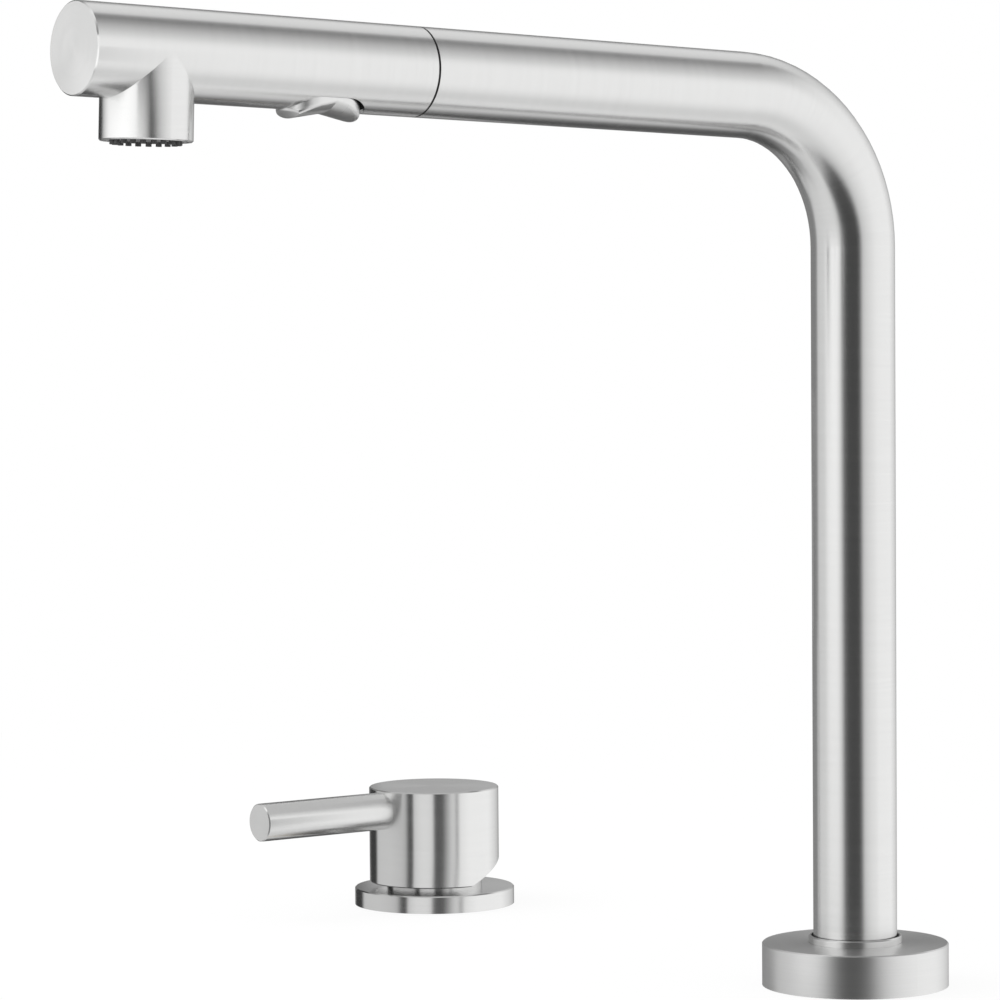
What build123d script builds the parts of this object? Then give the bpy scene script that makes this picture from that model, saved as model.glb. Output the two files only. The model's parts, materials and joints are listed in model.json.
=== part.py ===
from build123d import *

import os
from math import asin, cos, degrees, radians, sin, tan

# Under-window kitchen tap in brushed stainless steel.
# The spout column stands on the origin, on top of the worktop, with +Z up.
# The arm reaches forwards along -Y and climbs a little towards its end.
# The mixer valve stands beside the column, towards -X, and its rod points forwards.

# Clearances between pieces, all of them radial or per side
run_gap = 0.05
fit_gap = 0.05
free_gap = 0.35

# Spout tube
tube_radius = 14.0
tube_wall = 1.2
bend_radius = 49.6
arm_height = 294.6
arm_rise = 2.0
dock_reach = 177.1
edge_chamfer = 0.4

# Base flange, the socket that the spout stands in, and its swivel ring
flange_radius = 31.2
flange_height = 14.3
foot_seal_inset = 2.7
foot_seal_width = 2.5
foot_seal_height = 1.5
collar_rise = 2.4
collar_gap = 0.7
collar_wall = 0.9
shank_grip = 10.7
shank_wall = 1.25
bush_wall = 1.2
bush_ledge = 1.2
slide_bush_height = 8.5
socket_depth = 40.0
ring_sleeve = 14.0
ring_floor = 6.0
ring_lug = 4.0
socket_floor = 8.0
hose_way = 11.5
swivel_range = 75.0
stop_margin = 0.5
stop_pin_radius = 1.5
stop_pin_inset = 0.3
key_width = 3.6
key_height = 5.0

# Hose inside the spout
hose_radius = 6.8
hose_bore = 4.0
hose_break_run = 8.0
hose_break_gap = 0.5
hose_overhang = 20.0
grommet_height = 8.0
ferrule_wall = 1.5
ferrule_length = 14.0
ferrule_floor = 4.0
nipple_radius = 5.0
nipple_length = 16.0
nipple_bore = 3.0

# Dock at the end of the arm and the spigot that slides in it
dock_length = 26.0
dock_lip = 0.5
dock_lip_inset = 0.5
head_gap = 0.3
dock_wall = 2.7
spigot_length = 22.0
spigot_flange = 2.0
spigot_flange_gap = 0.75
spigot_bore = 6.0
spigot_water = 4.5
dock_key_width = 3.0
dock_key_rise = 1.2
hose_nut_length = 12.0
hose_nut_gap = 0.7
hose_nut_taper = 1.4
hose_washer_height = 0.8
hose_tail_wall = 1.1
check_valve_length = 12.0
check_valve_way = 1.2
check_valve_circle = 3.0
check_valve_ways = 4

# Spray head, set out from the seam where it meets the arm
toggle_run = 34.1
outlet_run = 95.3
end_run = 25.1
outlet_drop = 26.0
head_floor = 3.0
end_cap_height = 2.5
end_cap_plug = 5.0
end_cap_wall = 1.5

# Rocker toggle on the underside of the head, and its window
window_half_length = 14.4
window_half_width = 9.7
toggle_back_gap = 1.8
toggle_front_gap = 0.3
toggle_saddle_rise = 0.6
toggle_slope = 10.5
toggle_nose = 3.0
toggle_nose_slope = 40.0
toggle_fillet = 1.4
toggle_floor = 9.4
toggle_hub_half_width = 6.0
toggle_hub_half_length = 4.0
toggle_hub_rise = 1.6
toggle_foot_height = 2.2
pivot_drop = 5.0
pivot_pin_radius = 1.0
pivot_pin_half_length = 9.8
tab_length = 4.6
tab_half_width = 1.8
tab_half_thickness = 1.2
toggle_swing = 9.0

# Diverter spool that the toggle moves
spool_rise = 3.5
spool_radius = 3.7
spool_bore = 4.0
spool_half_length = 9.0
spool_neck = 1.6
spool_neck_half_length = 1.65
spool_end_room = 2.0
seal_section = 0.7
seal_groove_slack = 0.15
seal_places = (-6.8, -3.8, 6.0)
jet_way = 3.0
shower_way = 2.2
shower_way_offset = 8.5

# Water outlet
outlet_ring_width = 3.6
mat_thickness = 1.6
plate_thickness = 2.6
plate_recess = 0.4
aerator_radius = 7.0
aerator_wall = 1.2
aerator_depth = 12.0
aerator_stand = 0.2
grid_bar = 0.5
grid_count = 5
grid_depth = 3.0
nozzle_count = 20
nozzle_radius = 0.9
nozzle_hole = 0.4
nozzle_stand = 1.4

# Clamp under the worktop, the same for the spout and the valve
worktop = 30.0
washer_radius = 27.0
rubber_height = 3.0
steel_height = 2.0
clamp_gap = 0.4
backnut_radius = 25.5
backnut_height = 10.0
backnut_notch = 4.0
backnut_notch_count = 6
clamp_screw_radius = 2.5
clamp_screw_length = 18.0
clamp_screw_count = 3
screw_socket = 1.4
screw_socket_depth = 3.0

# Valve
valve_spacing = 244.5
rosette_radius = 30.3
rosette_height = 6.5
valve_shank_radius = 16.5
valve_shank_drop = 58.0
neck_step = 0.9
neck_height = 4.2
housing_wall = 1.55
port_count = 3
port_circle = 9.0
port_radius = 4.5
port_depth = 16.0
port_bore = 2.8

# Cartridge, stacked upwards from its seat in the valve body
cartridge_sink = 12.5
cartridge_radius = 14.0
cartridge_wall = 1.6
cartridge_seal_height = 1.5
cartridge_floor = 3.0
fixed_disc_radius = 12.0
disc_height = 3.0
moving_disc_radius = 8.0
moving_disc_offset = 2.6
moving_disc_hollow = 4.0
carriage_height = 5.0
carriage_floor = 1.0
carrier_gap = 0.4
carrier_height = 13.3
carrier_slot_front = 8.5
carrier_slot_rear = 6.5
carrier_head_room = 0.4
cartridge_opening = 9.0
cartridge_nut_wall = 1.6
cartridge_nut_gap = 0.5
cartridge_nut_height = 2.8
nut_notch_width = 3.0
nut_notch_depth = 1.2
nut_notch_count = 4
stem_pin_radius = 1.5
stem_pin_drop = 3.2
stem_pin_half_length = 11.0
stem_half = 4.0
stem_foot_half_width = 3.0
stem_foot_half_thickness = 1.8
stem_foot_drop = 6.0
stem_foot_gap = 0.8
socket_slack = 1.0

# Lever
cap_gap = 2.1
cap_radius = 24.6
cap_height = 36.1
cap_wall = 1.6
cap_roof = 2.4
cap_cut_angle = 24.0
cap_cut_start = -0.5
boss_radius = 8.0
boss_height = 6.0
stem_head_room = 1.0
rod_drop = 7.8
rod_radius = 7.05
rod_reach = 79.1
tang_radius = 4.0
grub_radius = 2.5
grub_drop = 5.4
plug_thickness = 1.8

# Heights and radii that follow from the sizes above
tube_bore = tube_radius - tube_wall
socket_bore = tube_radius + bush_wall
shank_radius = socket_bore + shank_wall
collar_bore = tube_radius + collar_gap
collar_radius = collar_bore + collar_wall
collar_top = flange_height + collar_rise
bush_top = shank_grip - bush_ledge
lug_floor = socket_depth + ring_floor + ring_lug
shank_drop = lug_floor + socket_floor
flange_seal_radius = flange_radius - foot_seal_inset
insert_radius = tube_bore - fit_gap
hose_break = bend_radius + hose_break_run
spigot_radius = insert_radius - dock_wall - run_gap
hose_nut_radius = spigot_radius - hose_nut_gap

head_start = dock_reach + dock_lip + head_gap
spigot_start = head_start - spigot_length
pivot_reach = head_start + toggle_run
outlet_reach = head_start + outlet_run
arm_reach = outlet_reach + end_run
cap_seat = arm_reach - end_cap_height

cartridge_seat = rosette_height - cartridge_sink
housing_floor = cartridge_seat + cartridge_seal_height
fixed_disc_floor = housing_floor + cartridge_floor
moving_disc_floor = fixed_disc_floor + disc_height
carriage_seat = moving_disc_floor + disc_height
carrier_seat = carriage_seat + carriage_height + carrier_gap
carrier_top = carrier_seat + carrier_height
cartridge_top = carrier_top + carrier_head_room + cartridge_wall
housing_top = cartridge_top + cartridge_nut_height
lever_pivot = carrier_top - stem_pin_drop
cartridge_bore = cartridge_radius - cartridge_wall
nut_radius = cartridge_radius + cartridge_nut_wall
housing_radius = nut_radius + fit_gap + housing_wall
neck_radius = housing_radius + neck_step
rosette_seal_radius = rosette_radius - foot_seal_inset
cap_bottom = rosette_height + cap_gap
cap_top = cap_bottom + cap_height
cap_ceiling = cap_top - cap_roof
cap_bore = cap_radius - cap_wall
stem_top = cap_ceiling - stem_head_room
rod_height = cap_top - rod_drop

# Planes that the pieces are drawn on
quarter_turn = 90.0
deck = Plane.XY
valve_deck = Plane(origin=(-valve_spacing, 0, 0))
arm_direction = Vector(0, -cos(radians(arm_rise)), sin(radians(arm_rise)))
arm_root = Plane(origin=(0, 0, arm_height), x_dir=(1, 0, 0), z_dir=arm_direction)


def arm_at(reach):
    """Plane across the arm: +X across, +Y up, +Z outwards along the arm."""
    return arm_root.offset(reach)


def under_arm(reach, depth):
    """Plane facing down, square to the arm, at a depth below the arm's axis."""
    centre = arm_at(reach).origin - arm_root.y_dir * depth
    return Plane(origin=centre, x_dir=(1, 0, 0), z_dir=-arm_root.y_dir)


def arm_side(reach, rise):
    """Plane facing the tap's +X, for pieces across the arm: +X back along the arm, +Y up."""
    centre = arm_at(reach).origin + arm_root.y_dir * rise
    return Plane(origin=centre, x_dir=-arm_direction, z_dir=(1, 0, 0))


def valve_at(height):
    return valve_deck.offset(height)


def valve_section(height=0.0):
    """Plane facing +X through the valve's axis, with +X to the rear and +Y up."""
    return Plane(origin=(-valve_spacing, 0, height), x_dir=(0, 1, 0), z_dir=(1, 0, 0))


def disc(plane, radius):
    with BuildSketch(plane) as face:
        Circle(radius)
    return face.sketch


def ring(plane, outer, inner):
    with BuildSketch(plane) as face:
        Circle(outer)
        Circle(inner, mode=Mode.SUBTRACT)
    return face.sketch


def slab(plane, width, depth, centre=(0, 0)):
    with BuildSketch(plane) as face:
        with Locations(centre):
            Rectangle(width, depth)
    return face.sketch


def holes(plane, circle, radius, count):
    """Round holes in a circle, the first of them on the plane's +Y."""
    with BuildSketch(plane) as face:
        with PolarLocations(circle, count, start_angle=quarter_turn):
            Circle(radius)
    return face.sketch


def obround(plane, half_width, half_length):
    """Slot shape, its long way along the plane's Y."""
    with BuildSketch(plane) as face:
        SlotOverall(2 * half_length, 2 * half_width, rotation=quarter_turn)
    return face.sketch


def write(piece, name):
    piece.part.label = name
    export_step(piece.part, f"parts/{name}.step")


os.makedirs("parts", exist_ok=True)

# Base flange, seated on the worktop
with BuildPart() as base_flange:
    extrude(disc(deck, flange_radius), amount=flange_height)
    chamfer(base_flange.edges().group_by(Axis.Z)[-1], edge_chamfer)
    extrude(disc(deck, shank_radius + fit_gap), amount=shank_grip, mode=Mode.SUBTRACT)
    extrude(disc(deck, collar_radius + fit_gap), amount=flange_height, mode=Mode.SUBTRACT)
    extrude(
        ring(deck, flange_seal_radius, flange_seal_radius - foot_seal_width),
        amount=foot_seal_height,
        mode=Mode.SUBTRACT,
    )
write(base_flange, "base_flange")

with BuildPart() as flange_seal:
    extrude(
        ring(deck, flange_seal_radius - fit_gap, flange_seal_radius - foot_seal_width + fit_gap),
        amount=foot_seal_height,
    )
write(flange_seal, "flange_seal")

# Threaded socket: it screws up into the flange, and its collar shows round the tube
with BuildPart() as spout_socket:
    extrude(disc(deck.offset(-shank_drop), shank_radius), amount=shank_drop + shank_grip)
    extrude(disc(deck, collar_radius), amount=collar_top)
    chamfer(spout_socket.edges().group_by(Axis.Z)[-1], edge_chamfer)
    extrude(disc(deck.offset(-shank_drop), hose_way), amount=shank_drop, mode=Mode.SUBTRACT)
    extrude(disc(deck.offset(-lug_floor), socket_bore), amount=lug_floor + bush_top, mode=Mode.SUBTRACT)
    extrude(disc(deck, collar_bore), amount=collar_top, mode=Mode.SUBTRACT)
    stop_hole = Plane(origin=(0, 0, ring_lug / 2 - lug_floor), x_dir=(1, 0, 0), z_dir=(0, 1, 0))
    extrude(disc(stop_hole, stop_pin_radius + fit_gap), amount=2 * shank_radius, mode=Mode.SUBTRACT)
write(spout_socket, "spout_socket")

with BuildPart() as slide_bush:
    extrude(
        ring(deck.offset(bush_top - slide_bush_height), socket_bore - fit_gap, tube_radius + run_gap),
        amount=slide_bush_height,
    )
write(slide_bush, "slide_bush")

stop_pin_start = hose_way + 2 * stop_pin_inset
with BuildPart() as stop_pin:
    extrude(
        disc(stop_hole.offset(stop_pin_start), stop_pin_radius),
        amount=shank_radius - stop_pin_inset - stop_pin_start,
    )
write(stop_pin, "stop_pin")

# Swivel ring: it carries the tube's foot, turns with it, and its lug meets the stop pin
stop_half_angle = swivel_range + stop_margin + degrees(asin(stop_pin_radius / stop_pin_start))
wedge_reach = 2 * socket_bore
wedge_side = wedge_reach * sin(radians(stop_half_angle))
wedge_front = wedge_reach * cos(radians(stop_half_angle))
key_start = tube_bore + 2 * fit_gap
key_end = tube_radius + bush_wall / 2
with BuildPart() as swivel_ring:
    extrude(
        ring(deck.offset(-lug_floor), socket_bore - run_gap, hose_way),
        amount=ring_lug + ring_floor,
    )
    extrude(
        ring(deck.offset(-socket_depth), socket_bore - run_gap, tube_radius + run_gap),
        amount=ring_sleeve,
    )
    with BuildSketch(deck.offset(-lug_floor)):
        Polygon(
            (0, 0),
            (wedge_side, wedge_front),
            (wedge_side, wedge_reach),
            (-wedge_side, wedge_reach),
            (-wedge_side, wedge_front),
            align=None,
        )
    extrude(amount=ring_lug, mode=Mode.SUBTRACT)
    extrude(
        slab(deck.offset(-socket_depth), key_end - key_start, key_width, ((key_start + key_end) / 2, 0)),
        amount=key_height,
    )
write(swivel_ring, "swivel_ring")

# Spout tube: column, bend and arm in one
with BuildPart() as spout_tube:
    with BuildLine() as tube_route:
        FilletPolyline(
            (0, 0, -socket_depth), (0, 0, arm_height), arm_at(dock_reach).origin, radius=bend_radius
        )
    sweep(ring(deck.offset(-socket_depth), tube_radius, tube_bore), path=tube_route.line)
    extrude(
        slab(deck.offset(-socket_depth), 4 * tube_wall, key_width + 2 * free_gap, (tube_radius, 0)),
        amount=key_height + free_gap,
        mode=Mode.SUBTRACT,
    )
write(spout_tube, "spout_tube")

with BuildPart() as hose_grommet:
    extrude(ring(deck.offset(-socket_depth), insert_radius, hose_radius + fit_gap), amount=grommet_height)
write(hose_grommet, "hose_grommet")

# Hose: the run that stays in the column and bend, and the run that the head draws out
hose_foot = -socket_depth - hose_overhang
with BuildPart() as hose_riser:
    with BuildLine() as hose_route:
        FilletPolyline((0, 0, hose_foot), (0, 0, arm_height), arm_at(hose_break).origin, radius=bend_radius)
    sweep(ring(deck.offset(hose_foot), hose_radius, hose_bore), path=hose_route.line)
write(hose_riser, "hose_riser")

with BuildPart() as hose_tail:
    extrude(
        disc(deck.offset(hose_foot - ferrule_floor), hose_radius + fit_gap + ferrule_wall),
        amount=ferrule_length,
    )
    extrude(disc(deck.offset(hose_foot - ferrule_floor), nipple_radius), amount=-nipple_length)
    chamfer(hose_tail.edges().group_by(Axis.Z)[0], edge_chamfer)
    extrude(disc(deck.offset(hose_foot), hose_radius + fit_gap), amount=ferrule_length, mode=Mode.SUBTRACT)
    extrude(
        disc(deck.offset(hose_foot), nipple_bore),
        amount=-(ferrule_floor + nipple_length),
        mode=Mode.SUBTRACT,
    )
write(hose_tail, "hose_tail")

hose_end = spigot_start - hose_washer_height
with BuildPart() as hose_pull_run:
    extrude(
        ring(arm_at(hose_break + hose_break_gap), hose_radius, hose_bore),
        amount=hose_end - hose_break - hose_break_gap,
    )
write(hose_pull_run, "hose_pull_run")

# Dock sleeve in the arm's end, with a lip that shows as the dark line at the seam
with BuildPart() as dock_sleeve:
    extrude(disc(arm_at(dock_reach - dock_length), insert_radius), amount=dock_length)
    extrude(disc(arm_at(dock_reach), tube_radius - dock_lip_inset), amount=dock_lip)
    extrude(
        disc(arm_at(dock_reach - dock_length), spigot_radius + run_gap),
        amount=dock_length + dock_lip,
        mode=Mode.SUBTRACT,
    )
    extrude(
        slab(
            arm_at(dock_reach - dock_length),
            dock_key_width + 2 * free_gap,
            spigot_radius + dock_key_rise + free_gap,
            (0, (spigot_radius + dock_key_rise + free_gap) / 2),
        ),
        amount=dock_length + dock_lip,
        mode=Mode.SUBTRACT,
    )
write(dock_sleeve, "dock_sleeve")

# Spigot: the docking neck of the spray head, which also holds the hose and the check valve
tail_radius = hose_bore - fit_gap
spigot_end = head_start + head_floor
with BuildPart() as spray_spigot:
    extrude(disc(arm_at(spigot_start), spigot_radius), amount=spigot_end - spigot_start)
    chamfer(spray_spigot.edges().filter_by(GeomType.CIRCLE).sort_by(Axis.Y)[-1], edge_chamfer)
    extrude(disc(arm_at(spigot_end), insert_radius - spigot_flange_gap), amount=spigot_flange)
    extrude(
        slab(
            arm_at(spigot_start + spigot_flange),
            dock_key_width,
            spigot_radius + dock_key_rise - spigot_bore,
            (0, (spigot_radius + dock_key_rise + spigot_bore) / 2),
        ),
        amount=spigot_length - 2 * spigot_flange,
    )
    extrude(disc(arm_at(spigot_start), tail_radius), amount=-hose_nut_length)
    extrude(
        disc(arm_at(spigot_end - check_valve_length), spigot_bore),
        amount=check_valve_length,
        mode=Mode.SUBTRACT,
    )
    extrude(disc(arm_at(spigot_end), spigot_water), amount=spigot_flange, mode=Mode.SUBTRACT)
    extrude(
        disc(arm_at(spigot_start - hose_nut_length), tail_radius - hose_tail_wall),
        amount=spigot_length + hose_nut_length,
        mode=Mode.SUBTRACT,
    )
write(spray_spigot, "spray_spigot")

with BuildPart() as hose_nut:
    loft(
        [
            disc(arm_at(hose_end - hose_nut_length), hose_nut_radius - hose_nut_taper),
            disc(arm_at(hose_end), hose_nut_radius),
        ]
    )
    extrude(
        disc(arm_at(hose_end - hose_nut_length), hose_radius + fit_gap),
        amount=hose_nut_length,
        mode=Mode.SUBTRACT,
    )
write(hose_nut, "hose_nut")

with BuildPart() as hose_washer:
    extrude(ring(arm_at(hose_end), hose_nut_radius, tail_radius + fit_gap), amount=hose_washer_height)
write(hose_washer, "hose_washer")

with BuildPart() as check_valve:
    extrude(
        disc(arm_at(spigot_end - check_valve_length), spigot_bore - fit_gap),
        amount=check_valve_length,
    )
    extrude(
        holes(
            arm_at(spigot_end - check_valve_length), check_valve_circle, check_valve_way, check_valve_ways
        ),
        amount=check_valve_length,
        mode=Mode.SUBTRACT,
    )
write(check_valve, "check_valve")

# Spray head shell: a tee of tube with a floor at the seam and the toggle's window below
with BuildPart() as spray_body:
    extrude(disc(arm_at(head_start), tube_radius), amount=cap_seat - head_start)
    extrude(disc(under_arm(outlet_reach, 0), tube_radius), amount=outlet_drop)
    chamfer(spray_body.edges().sort_by(Axis.Z)[0], edge_chamfer)
    extrude(
        disc(arm_at(head_start + head_floor), tube_bore),
        amount=cap_seat - head_start - head_floor,
        mode=Mode.SUBTRACT,
    )
    extrude(disc(under_arm(outlet_reach, 0), tube_bore), amount=outlet_drop, mode=Mode.SUBTRACT)
    extrude(disc(arm_at(head_start), spigot_radius + fit_gap), amount=head_floor, mode=Mode.SUBTRACT)
    extrude(
        obround(under_arm(pivot_reach, pivot_drop), window_half_width, window_half_length),
        amount=tube_radius,
        mode=Mode.SUBTRACT,
    )
write(spray_body, "spray_body")

with BuildPart() as spray_end_cap:
    extrude(disc(arm_at(cap_seat), tube_radius), amount=end_cap_height)
    chamfer(spray_end_cap.edges().filter_by(GeomType.CIRCLE).sort_by(Axis.Y)[0], edge_chamfer)
    extrude(disc(arm_at(cap_seat), insert_radius), amount=-end_cap_plug)
    extrude(
        disc(arm_at(cap_seat), insert_radius - end_cap_wall), amount=-end_cap_plug, mode=Mode.SUBTRACT
    )
write(spray_end_cap, "spray_end_cap")

# Water channel: the plastic core of the head, with the spool's bore and the toggle's pocket
core_start = spigot_end + spigot_flange + free_gap
core_end = cap_seat - end_cap_plug - free_gap
toggle_back = pivot_reach - window_half_length + toggle_back_gap
toggle_front = pivot_reach + window_half_length - toggle_front_gap
toggle_half_length = (toggle_front - toggle_back) / 2
toggle_centre = (toggle_front + toggle_back) / 2
toggle_half_width = window_half_width - free_gap
pocket_rise = (pivot_reach - toggle_back) * sin(radians(toggle_swing))
pocket_depth = toggle_floor - pocket_rise - free_gap
hub_top = pivot_drop - toggle_hub_rise
spool_start = pivot_reach - spool_half_length
spool_room = 2 * (spool_half_length + spool_end_room)
shower_end = outlet_reach - aerator_radius
with BuildPart() as water_channel:
    extrude(disc(arm_at(core_start), insert_radius), amount=core_end - core_start)
    extrude(
        slab(under_arm(pivot_reach, pocket_depth), 2 * tube_radius, 2 * (window_half_length + free_gap)),
        amount=tube_radius,
        mode=Mode.SUBTRACT,
    )
    extrude(
        slab(
            under_arm(pivot_reach, hub_top - free_gap),
            2 * (toggle_hub_half_width + free_gap),
            2 * (toggle_hub_half_length + toggle_hub_rise + free_gap),
        ),
        amount=tube_radius,
        mode=Mode.SUBTRACT,
    )
    extrude(
        slab(
            under_arm(pivot_reach, -spool_rise),
            2 * (tab_half_width + free_gap),
            2 * (tab_half_thickness + tab_length * tan(radians(toggle_swing)) + free_gap),
        ),
        amount=hub_top + spool_rise,
        mode=Mode.SUBTRACT,
    )
    with BuildSketch(arm_at(spool_start - spool_end_room)):
        with Locations((0, spool_rise)):
            Circle(spool_bore)
    extrude(amount=spool_room, mode=Mode.SUBTRACT)
    with BuildSketch(arm_at(core_start)):
        with Locations((0, spool_rise)):
            Circle(jet_way)
    extrude(amount=outlet_reach - core_start, mode=Mode.SUBTRACT)
    extrude(
        disc(under_arm(outlet_reach, -spool_rise), aerator_radius),
        amount=tube_radius + spool_rise,
        mode=Mode.SUBTRACT,
    )
    with BuildSketch(arm_at(spool_start + spool_room - spool_end_room)):
        with Locations((shower_way_offset, spool_rise)):
            Circle(shower_way)
    extrude(amount=shower_end - spool_start - spool_room, mode=Mode.SUBTRACT)
    with BuildSketch(under_arm(shower_end - spool_end_room, -spool_rise)):
        with Locations((shower_way_offset, 0)):
            Circle(shower_way)
    extrude(amount=tube_radius + spool_rise, mode=Mode.SUBTRACT)
    extrude(
        disc(arm_side(pivot_reach, -pivot_drop), pivot_pin_radius),
        amount=pivot_pin_half_length,
        both=True,
        mode=Mode.SUBTRACT,
    )
write(water_channel, "water_channel")

# Toggle: a rocker with a shallow valley and a bevelled nose, cut to the obround of its window
valley_radius = tube_radius + toggle_saddle_rise
valley_far = 2 * toggle_half_length
valley_lift = valley_far * tan(radians(toggle_slope))
nose_start = toggle_front - pivot_reach - toggle_nose
nose_radius = valley_radius + nose_start * tan(radians(toggle_slope))
nose_fall = (valley_far - nose_start) * tan(radians(toggle_nose_slope))
hub_drop = toggle_floor - pivot_drop
with BuildPart() as toggle:
    with BuildSketch(arm_side(pivot_reach, 0)):
        Polygon(
            (-valley_far, 0),
            (-valley_far, nose_fall - nose_radius),
            (-nose_start, -nose_radius),
            (0, -valley_radius),
            (valley_far, -valley_radius - valley_lift),
            (valley_far, 0),
            align=None,
        )
    revolve(axis=Axis(arm_root.origin, arm_direction))
    extrude(
        obround(under_arm(toggle_centre, toggle_floor), toggle_half_width, toggle_half_length),
        amount=tube_radius,
        mode=Mode.INTERSECT,
    )
    slopes = toggle.faces().filter_by(GeomType.CONE)
    fillet(slopes.edges().filter_by(GeomType.CIRCLE, reverse=True), toggle_fillet)
    with BuildSketch(arm_side(pivot_reach, -pivot_drop)) as hub_side:
        Circle(toggle_hub_rise)
        with Locations((0, -hub_drop / 2)):
            Rectangle(2 * toggle_hub_rise, hub_drop)
        with Locations((0, toggle_foot_height / 2 - hub_drop)):
            Rectangle(2 * toggle_hub_half_length, toggle_foot_height)
    extrude(hub_side.sketch, amount=toggle_hub_half_width, both=True)
    with BuildSketch(arm_side(pivot_reach, -pivot_drop)) as tab_side:
        with Locations((0, (toggle_hub_rise + tab_length) / 2)):
            Rectangle(2 * tab_half_thickness, tab_length + toggle_hub_rise)
    extrude(tab_side.sketch, amount=tab_half_width, both=True)
    extrude(
        disc(arm_side(pivot_reach, -pivot_drop), pivot_pin_radius + run_gap),
        amount=toggle_half_width,
        both=True,
        mode=Mode.SUBTRACT,
    )
write(toggle, "toggle")

with BuildPart() as toggle_pin:
    extrude(
        disc(arm_side(pivot_reach, -pivot_drop), pivot_pin_radius),
        amount=pivot_pin_half_length,
        both=True,
    )
write(toggle_pin, "toggle_pin")

# Diverter spool, moved along its bore by the toggle's tab, and its sealing rings
seal_outer = spool_bore - run_gap / 2
seal_middle = seal_outer - seal_section
spool_line = Plane(
    origin=arm_at(pivot_reach).origin + arm_root.y_dir * spool_rise, x_dir=(1, 0, 0), z_dir=arm_direction
)
with BuildPart() as diverter_spool:
    extrude(disc(spool_line, spool_radius), amount=spool_half_length, both=True)
    extrude(
        ring(spool_line, 2 * spool_radius, spool_neck),
        amount=spool_neck_half_length,
        both=True,
        mode=Mode.SUBTRACT,
    )
    for place in seal_places:
        extrude(
            ring(spool_line.offset(place), 2 * spool_radius, seal_middle - seal_section - fit_gap),
            amount=seal_section + seal_groove_slack,
            both=True,
            mode=Mode.SUBTRACT,
        )
write(diverter_spool, "diverter_spool")

with BuildPart() as spool_seals:
    for place in seal_places:
        with Locations(spool_line.offset(place)):
            Torus(seal_middle, seal_section)
write(spool_seals, "spool_seals")

# Water outlet: ring, soft nozzle mat, face plate and aerator
plate_depth = outlet_drop - plate_recess - plate_thickness
mat_depth = plate_depth - mat_thickness
outlet_ring_depth = tube_bore + free_gap
nozzle_circle = (aerator_radius + insert_radius) / 2
with BuildPart() as outlet_ring:
    extrude(
        ring(under_arm(outlet_reach, outlet_ring_depth), insert_radius, insert_radius - outlet_ring_width),
        amount=mat_depth - outlet_ring_depth,
    )
write(outlet_ring, "outlet_ring")

mat_back = under_arm(outlet_reach, mat_depth)
with BuildPart() as nozzle_mat:
    extrude(ring(mat_back, insert_radius, aerator_radius + fit_gap), amount=mat_thickness)
    extrude(
        holes(mat_back, nozzle_circle, nozzle_radius, nozzle_count),
        amount=mat_thickness + plate_thickness + nozzle_stand,
    )
    extrude(
        holes(mat_back, nozzle_circle, nozzle_hole, nozzle_count),
        amount=mat_thickness + plate_thickness + nozzle_stand,
        mode=Mode.SUBTRACT,
    )
write(nozzle_mat, "nozzle_mat")

plate_back = under_arm(outlet_reach, plate_depth)
with BuildPart() as nozzle_plate:
    extrude(ring(plate_back, insert_radius, aerator_radius + fit_gap), amount=plate_thickness)
    extrude(
        holes(plate_back, nozzle_circle, nozzle_radius + fit_gap, nozzle_count),
        amount=plate_thickness,
        mode=Mode.SUBTRACT,
    )
write(nozzle_plate, "nozzle_plate")

aerator_face = outlet_drop - plate_recess + aerator_stand
aerator_bore = aerator_radius - aerator_wall
grid_pitch = 2 * aerator_bore / (grid_count + 1)
with BuildPart() as aerator:
    extrude(
        ring(under_arm(outlet_reach, aerator_face - aerator_depth), aerator_radius, aerator_bore),
        amount=aerator_depth,
    )
    with BuildSketch(under_arm(outlet_reach, aerator_face - grid_depth)):
        with GridLocations(grid_pitch, 0, grid_count, 1):
            Rectangle(grid_bar, 2 * aerator_radius)
        with GridLocations(0, grid_pitch, 1, grid_count):
            Rectangle(2 * aerator_radius, grid_bar)
        Circle(aerator_bore + fit_gap, mode=Mode.INTERSECT)
    extrude(amount=grid_depth - fit_gap)
write(aerator, "aerator")


def write_clamp(side, station, thread_radius):
    """Washers, backnut and clamp screws under the worktop, round one threaded shank."""
    washer_bore = thread_radius + clamp_gap
    rubber_top = station.offset(-worktop)
    steel_top = rubber_top.offset(-rubber_height)
    nut_top = steel_top.offset(-steel_height)
    nut_foot = nut_top.offset(-backnut_height)
    screw_circle = (thread_radius + backnut_radius) / 2

    with BuildPart() as rubber_washer:
        extrude(ring(rubber_top, washer_radius, washer_bore), amount=-rubber_height)
    write(rubber_washer, f"{side}_rubber_washer")

    with BuildPart() as steel_washer:
        extrude(ring(steel_top, washer_radius, washer_bore), amount=-steel_height)
    write(steel_washer, f"{side}_steel_washer")

    with BuildPart() as backnut:
        extrude(ring(nut_top, backnut_radius, thread_radius + fit_gap), amount=-backnut_height)
        with BuildSketch(nut_foot):
            with PolarLocations(backnut_radius, backnut_notch_count):
                Rectangle(backnut_notch, backnut_notch)
        extrude(amount=backnut_height, mode=Mode.SUBTRACT)
        extrude(
            holes(nut_foot, screw_circle, clamp_screw_radius + fit_gap, clamp_screw_count),
            amount=backnut_height,
            mode=Mode.SUBTRACT,
        )
    write(backnut, f"{side}_backnut")

    with BuildPart() as clamp_screws:
        extrude(
            holes(nut_top, screw_circle, clamp_screw_radius, clamp_screw_count),
            amount=-clamp_screw_length,
        )
        with BuildSketch(nut_top.offset(-clamp_screw_length)):
            with PolarLocations(screw_circle, clamp_screw_count, start_angle=quarter_turn):
                RegularPolygon(screw_socket, 6)
        extrude(amount=screw_socket_depth, mode=Mode.SUBTRACT)
    write(clamp_screws, f"{side}_clamp_screws")


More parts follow.
